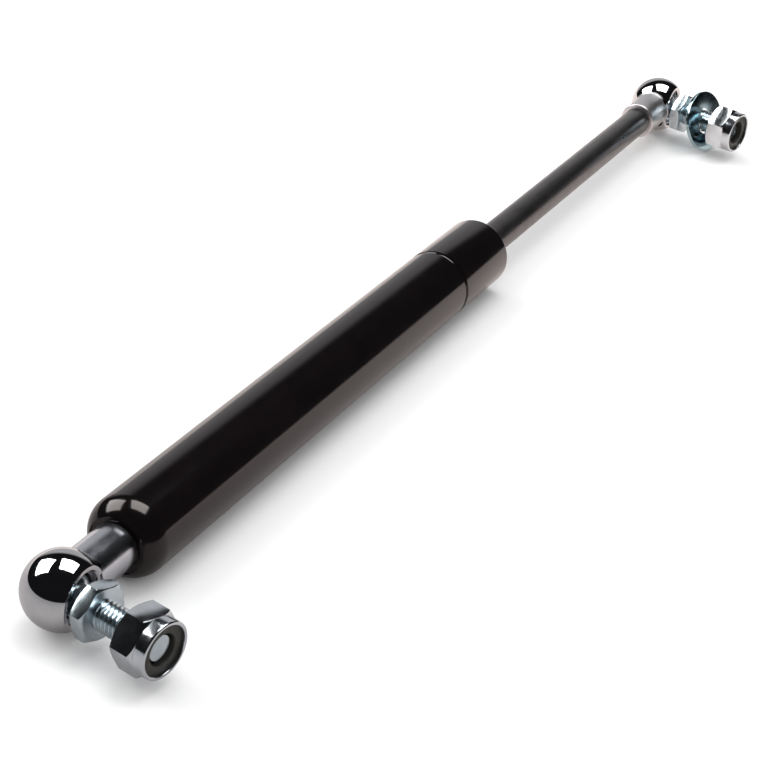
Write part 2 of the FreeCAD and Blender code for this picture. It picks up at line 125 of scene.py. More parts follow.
def rounded(corners: list[Corner], steps: int = 5) -> Outline:
    """Replaces each rounded corner of a closed outline by an arc.

    Args:
        corners: The outline's corners in order.
        steps: Number of segments in each arc.

    Returns:
        Points as (along, radius).
    """
    points: Outline = []
    count = len(corners)
    for index, corner in enumerate(corners):
        here = Vector((corner.along, corner.radius))
        if corner.rounding <= 0.0:
            points.append((here.x, here.y))
            continue
        before, after = corners[index - 1], corners[(index + 1) % count]
        back = Vector((before.along, before.radius)) - here
        onward = Vector((after.along, after.radius)) - here
        half = back.angle(onward) / 2
        longest = LARGEST_CORNER_SHARE * min(back.length, onward.length)
        reach = min(corner.rounding / math.tan(half), longest)
        radius = reach * math.tan(half)
        start = here + back.normalized() * reach
        end = here + onward.normalized() * reach
        middle = (back.normalized() + onward.normalized()).normalized()
        centre = here + middle * (radius / math.sin(half))
        for step in range(steps + 1):
            spoke = (start - centre).lerp(end - centre, step / steps).normalized() * radius
            points.append((centre.x + spoke.x, centre.y + spoke.y))
    return points


def arc(centre: Corner, radius: float, start: float, end: float, steps: int) -> list[Corner]:
    """Corners along an arc in the outline's plane.

    Args:
        centre: The arc's centre.
        radius: The arc's radius in millimetres.
        start: First angle in degrees, from the turning axis towards larger radii.
        end: Last angle in degrees.
        steps: Number of segments.

    Returns:
        The corners, first and last included.
    """
    angles = [math.radians(start + (end - start) * step / steps) for step in range(steps + 1)]
    return [
        Corner(centre.along + radius * math.cos(a), max(centre.radius + radius * math.sin(a), 0.0))
        for a in angles
    ]


def place_along(origin: Vector, axis: Vector, side: Vector) -> Matrix:
    """Matrix from a piece's own millimetres, with its axis on Z, to the frame's metres.

    Args:
        origin: Where the piece's own zero goes, in metres.
        axis: Direction of the piece's own Z.
        side: Direction that the piece's own X leans to.

    Returns:
        The placing matrix.
    """
    own_z = axis.normalized()
    own_x = (side - own_z * side.dot(own_z)).normalized()
    own_y = own_z.cross(own_x)
    turn = Matrix((own_x, own_y, own_z)).transposed().to_4x4()
    return Matrix.Translation(origin) @ turn @ Matrix.Scale(MM, 4)


def turned(outline: Outline, steps: int = 96) -> Mesh:
    """Turns a closed outline about its axis into a solid of revolution.

    Args:
        outline: Points as (along, radius), in order around the section.
        steps: Number of segments around the axis.

    Returns:
        A new mesh with the axis on Z.
    """
    mesh = bmesh.new()
    verts = [mesh.verts.new((radius, 0.0, along)) for along, radius in outline]
    pairs = zip(verts, verts[1:] + verts[:1])
    edges = [mesh.edges.new(pair) for pair in pairs if max(pair[0].co.x, pair[1].co.x) > ON_AXIS]
    bmesh.ops.spin(
        mesh,
        geom=verts + edges,
        cent=(0.0, 0.0, 0.0),
        axis=(0.0, 0.0, 1.0),
        angle=math.tau,
        steps=steps,
        use_merge=True,
    )
    bmesh.ops.remove_doubles(mesh, verts=mesh.verts, dist=WELD)
    bmesh.ops.recalc_face_normals(mesh, faces=mesh.faces)
    return mesh


def join(target: Mesh, extra: Mesh) -> None:
    """Adds one mesh's shell to another.

    Args:
        target: The mesh that grows.
        extra: The mesh that is added. It is freed.
    """
    data = bpy.data.meshes.new("joining")
    extra.to_mesh(data)
    extra.free()
    target.from_mesh(data)
    bpy.data.meshes.remove(data)


def crease_angle(edge: Edge) -> float:
    """Angle between an edge's two faces.

    Args:
        edge: The edge.

    Returns:
        The angle in degrees, or 0 for an edge that hasn't two faces.
    """
    if len(edge.link_faces) != 2:
        return 0.0
    return math.degrees(edge.calc_face_angle(0.0))


def soften_edges(mesh: Mesh, width: float, sharper_than: float = 40.0) -> None:
    """Bevels every edge that is sharper than an angle.

    Args:
        mesh: The mesh to soften.
        width: Bevel width in millimetres.
        sharper_than: Smallest angle in degrees that counts.
    """
    edges = [edge for edge in mesh.edges if crease_angle(edge) > sharper_than]
    bmesh.ops.bevel(
        mesh,
        geom=edges,
        offset=width,
        offset_type="OFFSET",
        affect="EDGES",
        segments=2,
        profile=0.5,
        material=-1,
        clamp_overlap=True,
    )


def press_flats(mesh: Mesh, flats: float, edge: float, phase: float) -> None:
    """Presses the outside of a turned blank back to six flats and keeps its chamfers conical.

    Args:
        mesh: A blank whose outer wall has the hexagon's corner radius.
        flats: Width across the flats.
        edge: Radius at which the chamfers start.
        phase: Angle of the first corner, in radians.
    """
    corner = flats / math.sqrt(3.0)
    middle = sum(vert.co.z for vert in mesh.verts) / len(mesh.verts)
    for vert in mesh.verts:
        radius = math.hypot(vert.co.x, vert.co.y)
        if radius <= edge + TOLERANCE:
            continue
        angle = math.atan2(vert.co.y, vert.co.x) - phase
        off_flat = (angle % (math.pi / 3)) - math.pi / 6
        flat = flats / 2 / math.cos(off_flat)
        share = (radius - edge) / (corner - edge)
        pressed = edge + share * (flat - edge)
        lift = (radius - pressed) * CHAMFER_SLOPE
        vert.co.x *= pressed / radius
        vert.co.y *= pressed / radius
        vert.co.z += lift if vert.co.z > middle else -lift


def hexagon(start: float, end: float, flats: float, inner: float, phase: float) -> Mesh:
    """A hexagon prism with chamfered corners at both ends.

    Args:
        start: Place of its first face along the axis.
        end: Place of its last face.
        flats: Width across the flats.
        inner: Radius of the hole through it.
        phase: Angle of the first corner, in radians.

    Returns:
        A new mesh with the axis on Z.
    """
    corner = flats / math.sqrt(3.0)
    edge = flats * CHAMFER_SHARE
    rise = (corner - edge) * CHAMFER_SLOPE
    blank = turned(
        [
            (start, inner),
            (start, edge),
            (start + rise, corner),
            (end - rise, corner),
            (end, edge),
            (end, inner),
        ],
        steps=120,
    )
    bmesh.ops.rotate(blank, verts=blank.verts, cent=(0, 0, 0), matrix=Matrix.Rotation(phase, 3, "Z"))
    press_flats(blank, flats, edge, phase)
    soften_edges(blank, HEXAGON_SOFTENING)
    return blank


def finish_piece(
    mesh: Mesh,
    name: str,
    place: Matrix,
    material: Material,
    sharper_than: float = 38.0,
) -> Object:
    """Turns a worked mesh into an object whose place is in its vertices.

    Args:
        mesh: The mesh in its own millimetres. It is freed.
        name: The piece's name.
        place: Matrix from the mesh's own frame to the row frame.
        material: The piece's finish.
        sharper_than: Angle in degrees from which an edge stays crisp.

    Returns:
        The new object.
    """
    mesh.transform(place)
    for face in mesh.faces:
        face.smooth = True
    for edge in mesh.edges:
        edge.smooth = crease_angle(edge) < sharper_than
    data = bpy.data.meshes.new(name)
    mesh.to_mesh(data)
    mesh.free()
    data.materials.append(material)
    piece = bpy.data.objects.new(name, data)
    bpy.context.scene.collection.objects.link(piece)
    return piece


def combine(piece: Object, other: Object, operation: str) -> None:
    """Joins another object's volume to a piece, or cuts it away, and removes that object.

    Args:
        piece: The object that stays.
        other: The object that is used up.
        operation: "UNION" or "DIFFERENCE".
    """
    step = piece.modifiers.new("combine", "BOOLEAN")
    step.operation = operation
    step.solver = "EXACT"
    step.object = other
    graph = bpy.context.evaluated_depsgraph_get()
    data = bpy.data.meshes.new_from_object(piece.evaluated_get(graph))
    piece.modifiers.remove(step)
    piece.data = data
    bpy.data.objects.remove(other)


def declare(piece: Object, body: str, node: str) -> None:
    """Makes a piece ride on its body and stand for its CAD node.

    Args:
        piece: The piece.
        body: The body that it moves with.
        node: The CAD node that it stands for.
    """
    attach(piece, body)
    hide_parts(node)
    LOG.info("%s rides on %s and stands for %s", piece.name, body, node)


@dataclass
class Nodes:
    """Short helper for laying out one node tree.

    Args:
        tree: The tree that the nodes go in.
    """

    tree: Tree

    def add(self, kind: str, values: dict | None = None, **settings: object) -> Node:
        """Adds a node.

        Args:
            kind: The node's type.
            values: What its inputs get, by name or number: a value, or an output to link.
            **settings: Its properties.

        Returns:
            The new node.
        """
        node = self.tree.nodes.new(kind)
        for name, value in settings.items():
            setattr(node, name, value)
        for label, value in (values or {}).items():
            if isinstance(value, Socket):
                self.tree.links.new(value, node.inputs[label])
            else:
                node.inputs[label].default_value = value
        return node

    def mix(self, factor: Socket, low: object, high: object) -> Socket:
        """Mixes two colours.

        Args:
            factor: The second colour's share.
            low: The first colour.
            high: The second colour.

        Returns:
            The mixed colour.
        """
        values = {"Factor": factor, "A": low, "B": high}
        return self.add("ShaderNodeMix", values, data_type="RGBA").outputs["Result"]


def new_group(name: str, inputs: list[str]) -> tuple[Nodes, bpy.types.NodeOutputs]:
    """Starts a shader node group that gives one value for a place.

    Args:
        name: The group's name.
        inputs: Names of its number inputs.

    Returns:
        The group's node helper, and its inputs as the nodes inside it see them.
    """
    tree = bpy.data.node_groups.new(name, "ShaderNodeTree")
    tree.interface.new_socket(name="Place", in_out="INPUT", socket_type="NodeSocketVector")
    for label in inputs:
        tree.interface.new_socket(name=label, in_out="INPUT", socket_type="NodeSocketFloat")
    tree.interface.new_socket(name="Value", in_out="OUTPUT", socket_type="NodeSocketFloat")
    nodes = Nodes(tree)
    return nodes, nodes.add("NodeGroupInput").outputs


def cloud_group() -> Tree:
    """Group that gives a soft mottling between a low and a high value.

    Returns:
        The node group.
    """
    nodes, given = new_group("soft_mottling", ["Scale", "Low", "High"])
    noise = nodes.add("ShaderNodeTexNoise", {
        "Vector": given["Place"],
        "Scale": given["Scale"],
        "Detail": 4.0,
        "Roughness": 0.6,
    })
    spread = nodes.add("ShaderNodeMapRange", {
        "Value": noise.outputs["Fac"],
        "From Min": 0.3,
        "From Max": 0.7,
        "To Min": given["Low"],
        "To Max": given["High"],
    })
    nodes.add("NodeGroupOutput", {"Value": spread.outputs["Result"]})
    return nodes.tree


def tooling_group() -> Tree:
    """Group that gives the fine rings a turning tool leaves around the mapped X axis.

    Returns:
        The node group.
    """
    nodes, given = new_group("turning_rings", ["Rings", "Wander"])
    split = nodes.add("ShaderNodeSeparateXYZ", {"Vector": given["Place"]})
    drift = nodes.add("ShaderNodeTexNoise", {"Vector": given["Place"], "Scale": 180.0, "Detail": 3.0})
    count = nodes.add("ShaderNodeMath", {0: split.outputs["X"], 1: given["Rings"]}, operation="MULTIPLY")
    values = {"W": count.outputs["Value"], "Scale": 1.0, "Detail": 5.0}
    rings = nodes.add("ShaderNodeTexNoise", values, noise_dimensions="1D")
    values = {"A": rings.outputs["Fac"], "B": drift.outputs["Fac"], "Factor": given["Wander"]}
    blend = nodes.add("ShaderNodeMix", values, data_type="FLOAT")
    nodes.add("NodeGroupOutput", {"Value": blend.outputs["Result"]})
    return nodes.tree


class Effects:
    """The node groups that several finishes share, built once."""

    def __init__(self) -> None:
        """Builds the groups."""
        self.mottling = cloud_group()
        self.rings = tooling_group()


def bare_material(name: str) -> tuple[Material, Nodes]:
    """Starts a material without nodes.

    Args:
        name: The material's name.

    Returns:
        The material and its node helper.
    """
    material = bpy.data.materials.new(name)
    material.use_nodes = True
    material.node_tree.nodes.clear()
    return material, Nodes(material.node_tree)


class Grain(Enum):
    """What a finish's surface detail follows."""

    MOTTLED = "mottled"
    TURNED = "turned"


@dataclass(frozen=True)
class Finish:
    """A finish: its colours, gloss and fine surface detail.

    Args:
        name: The material's name.
        slot: The record's material slot that it stands for. Not used.
        light: Base colour where the mottling is high.
        dark: Base colour where the mottling is low.
        metallic: How metallic the surface is.
        smoothest: Roughness at the glossiest spots.
        roughest: Roughness at the dullest spots.
        grain: What the surface detail follows.
        relief: Height of the surface detail in millimetres.
        scale: Mottling scale per metre.
        index: Refractive index of the surface.
        sheen_tint: Colour of its reflections.
        axis: Direction of the turning axis for a turned grain.
    """

    name: str
    slot: str
    light: Colour
    dark: Colour
    metallic: float
    smoothest: float
    roughest: float
    grain: Grain = Grain.MOTTLED
    relief: float = 0.002
    scale: float = 90.0
    index: float = 1.5
    sheen_tint: Colour = (1.0, 1.0, 1.0)
    axis: tuple[float, float, float] = (1.0, 0.0, 0.0)

    def _coordinates(self, nodes: Nodes) -> Socket:
        """Object coordinates turned so that the piece's axis lies on X.

        Args:
            nodes: The material's nodes.

        Returns:
            The turned coordinates.
        """
        source = nodes.add("ShaderNodeTexCoord")
        turn = Vector(self.axis).rotation_difference(ALONG)
        values = {"Vector": source.outputs["Object"], "Rotation": turn.to_euler()}
        return nodes.add("ShaderNodeMapping", values).outputs["Vector"]

    def _group(self, nodes: Nodes, tree: Tree, place: Socket, **values: float) -> Socket:
        """Places a shared group.

        Args:
            nodes: The material's nodes.
            tree: The group's tree.
            place: Coordinates that the group follows.
            **values: The group's number inputs.

        Returns:
            The group's value output.
        """
        values["Place"] = place
        return nodes.add("ShaderNodeGroup", values, node_tree=tree).outputs["Value"]

    def material(self, effects: Effects) -> Material:
        """Builds the finish as a material, or finds it if it has been built before.

        Args:
            effects: The shared node groups.

        Returns:
            The material.
        """
        made = bpy.data.materials.get(self.name)
        if made is not None:
            return made
        made, nodes = bare_material(self.name)
        place = self._coordinates(nodes)
        tint = self._group(nodes, effects.mottling, place, Scale=self.scale, Low=0.0, High=1.0)
        gloss = self._group(nodes, effects.mottling, place, Scale=self.scale * GLOSS_SCALE,
                            Low=self.smoothest, High=self.roughest)
        if self.grain is Grain.TURNED:
            height = self._group(nodes, effects.rings, place, Rings=RINGS_PER_METRE, Wander=RING_WANDER)
        else:
            height = self._group(nodes, effects.mottling, place, Scale=self.scale * RELIEF_SCALE,
                                 Low=0.0, High=1.0)
        bump = nodes.add("ShaderNodeBump", {"Distance": self.relief * MM, "Height": height})
        shader = nodes.add("ShaderNodeBsdfPrincipled", {
            "Base Color": nodes.mix(tint, (*self.dark, 1.0), (*self.light, 1.0)),
            "Metallic": self.metallic,
            "Roughness": gloss,
            "IOR": self.index,
            "Specular Tint": (*self.sheen_tint, 1.0),
            "Normal": bump.outputs["Normal"],
        })
        nodes.add("ShaderNodeOutputMaterial", {"Surface": shader.outputs["BSDF"]})
        return made


BLACK_PAINT = Finish("black_gloss_paint", "gloss_paint", (0.006, 0.0045, 0.005), (0.004, 0.003, 0.0034),
                     0.0, 0.09, 0.14, relief=0.0012, scale=70.0, index=1.40, sheen_tint=(1.0, 0.90, 0.88))
DARK_ROD = Finish("nitrided_rod_steel", "dark_rod", (0.105, 0.100, 0.102), (0.080, 0.076, 0.078),
                  0.9, 0.27, 0.36, Grain.TURNED, relief=0.0006)
BRIGHT_SOCKET = Finish("bright_socket_steel", "bright_socket", (0.60, 0.60, 0.61), (0.50, 0.50, 0.52),
                       1.0, 0.03, 0.07, relief=0.0006, scale=120.0)
# Painted light: both necks are the same turned steel, and the rod side's copy is lighter and rougher than
# the tube side's, a lit copy for the brighter light on that end.
NECK_FINISHES = {
    Side.TUBE: Finish("tube_end_neck_steel", "bright_socket", (0.56, 0.58, 0.62), (0.44, 0.46, 0.51),
                      1.0, 0.16, 0.25, Grain.TURNED, relief=0.002),
    Side.ROD: Finish("rod_end_lit_neck_steel", "bright_socket", (0.66, 0.65, 0.66), (0.54, 0.53, 0.54),
                     1.0, 0.30, 0.40, Grain.TURNED, relief=0.002),
}
# The drilled hole's wall: rough drilled steel whose near-black colour is painted shade inside the hole.
DRILLED_HOLE_SHADE = Finish("drilled_hole_painted_shade", "bright_socket", (0.05, 0.045, 0.04), (0.03, 0.028, 0.026),
                       1.0, 0.5, 0.6, relief=0.002)
PLASTIC_RING = Finish("nut_ring_nylon", "nylon", (0.030, 0.030, 0.024), (0.015, 0.015, 0.012),
                      0.0, 0.45, 0.6, relief=0.01, scale=300.0)
WASHER_ZINC = Finish("washer_zinc", "zinc_washer", (0.33, 0.46, 0.50), (0.27, 0.39, 0.43),
                     1.0, 0.11, 0.16, relief=0.0006, scale=140.0)
NUT_ZINC = Finish("nut_zinc", "zinc_nut", (0.66, 0.70, 0.73), (0.52, 0.56, 0.60),
                  1.0, 0.10, 0.17, relief=0.002, scale=150.0)
PLAIN_STEEL = Finish("plain_turned_steel", "plain_steel", (0.45, 0.45, 0.46), (0.36, 0.36, 0.37),
                     1.0, 0.25, 0.35, Grain.TURNED, relief=0.002)
CLIP_STEEL = Finish("spring_clip_steel", "spring_steel", (0.36, 0.36, 0.38), (0.26, 0.26, 0.28),
                    1.0, 0.25, 0.35, relief=0.002)
CAST_ALLOY = Finish("cast_piston_alloy", "alloy", (0.68, 0.68, 0.69), (0.55, 0.55, 0.56),
                    1.0, 0.35, 0.5, relief=0.006, scale=200.0)
SLIDING_PLASTIC = Finish("sliding_ring_plastic", "ring_plastic", (0.85, 0.84, 0.80), (0.78, 0.77, 0.73),
                         0.0, 0.3, 0.4, relief=0.003)
SEAL_RUBBER = Finish("lip_seal_rubber", "seal_rubber", (0.022, 0.022, 0.022), (0.014, 0.014, 0.014),
                     0.0, 0.5, 0.65, relief=0.006, scale=260.0)
GUIDE_BRONZE = Finish("sintered_bronze", "guide_bronze", (0.60, 0.42, 0.22), (0.42, 0.28, 0.13),
                      1.0, 0.35, 0.5, relief=0.008, scale=400.0)


def stud_finish(side: Side) -> Finish:
    """Zinc finish of one stud, with its turning marks about that stud's axis.

    Args:
        side: The strut's end.

    Returns:
        The finish.
    """
    return Finish(f"{side.value}_stud_zinc", "zinc_stud", (0.62, 0.70, 0.74), (0.46, 0.54, 0.58),
                  1.0, 0.16, 0.28, Grain.TURNED, relief=0.002, axis=tuple(side.stud))


@dataclass
class PressureTube:
    """The closed tube, in millimetres from the tube side ball centre along the strut."""

    floor: float = 23.0
    recess: float = 7.8
    dome_radius: float = 8.0
    dome_centre: float = 29.0
    radius: float = 11.0
    bore: float = 9.75
    bead: float = 200.8
    bead_half_width: float = 0.9
    bead_depth: float = 0.6
    rim: float = 232.0
    rim_rounding: float = 1.2
    lip_bore: float = 8.0
    lip_rounding: float = 0.3
    lip_thickness: float = 1.2
    end_wall: float = 2.5

    def _bead_arc(self, radius: float, forward: bool) -> list[Corner]:
        """The rolled bead's dip in one face of the wall.

        Args:
            radius: The face's radius.
            forward: Whether the outline runs towards the rod's end here.

        Returns:
            The dip's corners.
        """
        half, depth = self.bead_half_width, self.bead_depth
        bend = (half * half + depth * depth) / (2 * depth)
        open_angle = math.degrees(math.asin(half / bend))
        centre = Corner(self.bead, radius - depth + bend)
        dip = arc(centre, bend, 270.0 - open_angle, 270.0 + open_angle, steps=14)
        return dip if forward else dip[::-1]

    def outline(self) -> Outline:
        """The section of the wall, from the middle of the closed end around and back inside.

        Returns:
            Points as (along, radius).
        """
        inner_bend = self.dome_radius - (self.radius - self.bore)
        inner_end = self.floor + self.end_wall
        flank = self.radius - self.dome_radius
        start = 180.0 - math.degrees(math.asin((self.recess - flank) / self.dome_radius))
        dome = arc(Corner(self.dome_centre, flank), self.dome_radius, start, 90.0, steps=22)
        inner_centre = Corner(inner_end + inner_bend, self.bore - inner_bend)
        inner_dome = arc(inner_centre, inner_bend, 90.0, 180.0, steps=12)
        corners = [Corner(self.floor, 0.0), Corner(self.floor, self.recess)]
        corners += dome
        corners += self._bead_arc(self.radius, True)
        corners += [
            Corner(self.rim, self.radius, self.rim_rounding),
            Corner(self.rim, self.lip_bore, self.lip_rounding),
            Corner(self.rim - self.lip_thickness, self.lip_bore, self.lip_rounding),
            Corner(self.rim - self.lip_thickness, self.bore),
        ]
        corners += self._bead_arc(self.bore, False)
        corners += inner_dome
        corners.append(Corner(inner_end, 0.0))
        return rounded(corners)

    def build(self, effects: Effects) -> None:
        """Makes the tube.

        Args:
            effects: The shared node groups.
        """
        mesh = turned(self.outline(), steps=160)
        place = place_along(Side.TUBE.ball, ALONG, -UP)
        piece = finish_piece(mesh, "painted_tube", place, BLACK_PAINT.material(effects))
        declare(piece, "cylinder", "pressure_tube")


@dataclass
class Rod:
    """The piston rod, in millimetres from the tube side ball centre along the strut."""

    spacing: float = 400.0
    reach: float = 23.0
    thread_length: float = 11.6
    thread_radius: float = 4.0
    radius: float = 5.0
    edge: float = 0.4
    spigot: float = 3.5
    shoulder: float = 199.6
    spigot_end: float = 188.3
    rivet_radius: float = 4.6
    rivet_end: float = 186.4
    end_rounding: float = 0.6
    shoulder_rounding: float = 0.1

    def build(self, effects: Effects) -> None:
        """Makes the rod.

        Args:
            effects: The shared node groups.
        """
        face = self.spacing - self.reach
        end = face + self.thread_length
        corners = [
            Corner(self.rivet_end, 0.0),
            Corner(end, 0.0),
            Corner(end, self.thread_radius, self.end_rounding),
            Corner(face, self.thread_radius),
            Corner(face, self.radius, self.edge),
            Corner(self.shoulder, self.radius, self.shoulder_rounding),
            Corner(self.shoulder, self.spigot),
            Corner(self.spigot_end, self.spigot),
            Corner(self.spigot_end, self.rivet_radius),
            Corner(self.rivet_end, self.rivet_radius, self.end_rounding),
        ]
        mesh = turned(rounded(corners[::-1]), steps=96)
        place = place_along(Side.TUBE.ball, ALONG, -UP)
        piece = finish_piece(mesh, "ground_rod", place, DARK_ROD.material(effects))
        declare(piece, "rod", "piston_rod")


@dataclass
class BallSocket:
    """One turned ball socket, in millimetres from its ball's centre."""

    side: Side
    head: float = 10.0
    mouth: float = 6.0
    mouth_edge: float = 0.25
    cavity: float = 6.55
    mouth_chamfer: float = 0.5
    mouth_rounding: float = 0.1
    groove: float = 6.95
    groove_start: float = 3.2
    groove_end: float = 4.4
    neck: float = 6.4
    neck_reach: float = 23.0
    neck_start: float = 7.35
    neck_edge: float = 0.5
    neck_overlap: float = 0.3
    fillet: float = 0.55
    fillet_rise: float = 0.6
    hole_radius: float = 0.8
    hole_along: float = 7.6
    hole_out: float = 4.7
    drill_reach: float = 12.0

    def _head(self) -> Mesh:
        """The head with its cavity, its axis through the mouth.

        Returns:
            A new mesh with the axis on Z.
        """
        mouth_angle = math.degrees(math.acos(self.mouth / self.head))
        outside = arc(Corner(0.0, 0.0), self.head, 180.0, mouth_angle, steps=48)
        inside = arc(Corner(0.0, 0.0), self.cavity, 90.0, 180.0, steps=24)
        rim = outside.pop()
        corners = outside + [
            Corner(rim.along, rim.radius, self.mouth_edge),
            Corner(self.mouth, self.cavity + self.mouth_chamfer, self.mouth_rounding),
            Corner(self.mouth - self.mouth_chamfer, self.cavity, self.mouth_rounding),
            Corner(self.groove_end, self.cavity),
            Corner(self.groove_end, self.groove),
            Corner(self.groove_start, self.groove),
            Corner(self.groove_start, self.cavity),
        ]
        return turned(rounded(corners + inside), steps=128)

    def _neck(self) -> Mesh:
        """The neck with a small fillet where it leaves the head, its axis along the strut.

        Returns:
            A new mesh with the axis on Z.
        """
        fillet = self.fillet
        leave = math.sqrt(self.head**2 - (self.neck + fillet * self.fillet_rise) ** 2)
        bend = arc(Corner(leave + fillet, self.neck + fillet), fillet, 190.0, 270.0, steps=6)
        inside = self.neck_start - self.neck_overlap
        corners = [Corner(inside, 0.0), Corner(inside, bend[0].radius)]
        corners += bend
        corners += [Corner(self.neck_reach, self.neck, self.neck_edge), Corner(self.neck_reach, 0.0)]
        return turned(rounded(corners), steps=112)

    def build(self, effects: Effects) -> None:
        """Makes the socket.

        Args:
            effects: The shared node groups.
        """
        ball = self.side.ball
        hole = ball + (self.side.neck * self.hole_along + MOUTH_WAY * self.hole_out) * MM
        reach, radius = self.drill_reach, self.hole_radius
        drill = turned([(-reach, 0.0), (-reach, radius), (reach, radius), (reach, 0.0)], steps=32)
        head_turned, neck_turned = self._head(), self._neck()
        # The drill's faces become the hole's wall after the cut and take the third material, whose
        # near-black colour is painted shade.
        for mesh, index in ((head_turned, 0), (neck_turned, 1), (drill, 2)):
            for face in mesh.faces:
                face.material_index = index
        name = f"{self.side.value}_end_socket"
        bright = BRIGHT_SOCKET.material(effects)
        others = [NECK_FINISHES[self.side].material(effects), DRILLED_HOLE_SHADE.material(effects)]
        own = Matrix.Scale(1.0 / MM, 4) @ Matrix.Translation(-ball)
        piece = finish_piece(head_turned, name, own @ place_along(ball, MOUTH_WAY, self.side.neck), bright)
        along = own @ place_along(ball, self.side.neck, UP)
        neck = finish_piece(neck_turned, name + "_neck", along, bright)
        tool = finish_piece(drill, name + "_drill", own @ place_along(hole, UP, ALONG), bright)
        for data in (piece.data, neck.data, tool.data):
            for material in others:
                data.materials.append(material)
        combine(piece, neck, "UNION")
        combine(piece, tool, "DIFFERENCE")
        worked = bmesh.new()
        worked.from_mesh(piece.data)
        bmesh.ops.remove_doubles(worked, verts=worked.verts, dist=TOLERANCE)
        bpy.data.objects.remove(piece)
        piece = finish_piece(worked, name, Matrix.Translation(ball) @ Matrix.Scale(MM, 4), bright)
        for material in others:
            piece.data.materials.append(material)
        declare(piece, self.side.socket_body, self.side.node_prefix + "socket")


@dataclass
class BallStud:
    """One stud, in millimetres from its ball's centre along its own axis."""

    side: Side
    phase: float
    ball: float = 6.5
    neck: float = 3.7
    collar_start: float = 9.2
    collar_end: float = 13.4
    flats: float = 13.6
    crest: float = 3.97
    root: float = 3.3
    pitch: float = 1.25
    end: float = 30.8
    chamfer: float = 0.7
    neck_rounding: float = 0.6
    crest_share: float = 0.14
    root_share: float = 0.2
    lead_in: float = 1.5
    spare_turns: int = 2
    steps_per_turn: int = 48

    @property
    def middle(self) -> float:
        """Middle of the collar, where the neck and the thread end inside it."""
        return (self.collar_start + self.collar_end) / 2

    def _ball_and_neck(self) -> Mesh:
        """The ball and the neck up to the middle of the collar.

        Returns:
            A new mesh with the axis on Z.
        """
        meet = math.degrees(math.asin(self.neck / self.ball))
        surface = arc(Corner(0.0, 0.0), self.ball, 180.0, meet, steps=40)
        last = surface.pop()
        corners = surface + [Corner(last.along, last.radius, self.neck_rounding)]
        corners += [Corner(self.middle, self.neck), Corner(self.middle, 0.0)]
        return turned(rounded(corners), steps=96)

    def _thread(self) -> Mesh:
        """The threaded shank, one right-handed helical sweep with a chamfered end.

        Returns:
            A new mesh with the axis on Z.
        """
        per_turn = self.steps_per_turn
        turns = math.ceil((self.end - self.middle) / self.pitch) + self.spare_turns
        rise = self.root_share / 2
        top = rise + (1.0 - self.crest_share - self.root_share) / 2
        shares = [0.0, rise, top, top + self.crest_share, 1.0 - rise, 1.0]
        radii = [self.root, self.root, self.crest, self.crest, self.root, self.root]
        first = self.middle - self.lead_in * self.pitch
        mesh = bmesh.new()
        verts = [
            mesh.verts.new((radius, 0.0, first + share * self.pitch))
            for share, radius in zip(shares, radii)
        ]
        edges = [mesh.edges.new(pair) for pair in zip(verts, verts[1:])]
        bmesh.ops.spin(
            mesh,
            geom=verts + edges,
            cent=(0.0, 0.0, 0.0),
            axis=(0.0, 0.0, 1.0),
            dvec=(0.0, 0.0, self.pitch / per_turn),
            angle=math.tau * turns,
            steps=per_turn * turns,
            use_merge=False,
        )
        bmesh.ops.remove_doubles(mesh, verts=mesh.verts, dist=THREAD_WELD)
        for place, outward in ((self.middle, -1.0), (self.end, 1.0)):
            bmesh.ops.bisect_plane(
                mesh,
                geom=mesh.verts[:] + mesh.edges[:] + mesh.faces[:],
                plane_co=(0.0, 0.0, place),
                plane_no=(0.0, 0.0, outward),
                clear_outer=True,
                dist=TOLERANCE,
            )
        for vert in mesh.verts:
            limit = self.crest - max(vert.co.z - (self.end - self.chamfer), 0.0)
            radius = math.hypot(vert.co.x, vert.co.y)
            if radius > limit:
                vert.co.x *= limit / radius
                vert.co.y *= limit / radius
        for place in (self.middle, self.end):
            rim = [edge for edge in mesh.edges
                   if edge.is_boundary and all(abs(v.co.z - place) < THREAD_WELD for v in edge.verts)]
            bmesh.ops.contextual_create(mesh, geom=rim)
        bmesh.ops.recalc_face_normals(mesh, faces=mesh.faces)
        return mesh

    def build(self, effects: Effects) -> None:
        """Makes the stud.

        Args:
            effects: The shared node groups.
        """
        stud = self._ball_and_neck()
        join(stud, hexagon(self.collar_start, self.collar_end, self.flats, 0.0, self.phase))
        join(stud, self._thread())
        place = place_along(self.side.ball, self.side.stud, -ALONG)
        finish = stud_finish(self.side)
        piece = finish_piece(stud, f"{self.side.value}_end_stud", place, finish.material(effects))
        declare(piece, f"{self.side.value}_side_stud", self.side.node_prefix + "ball_stud")


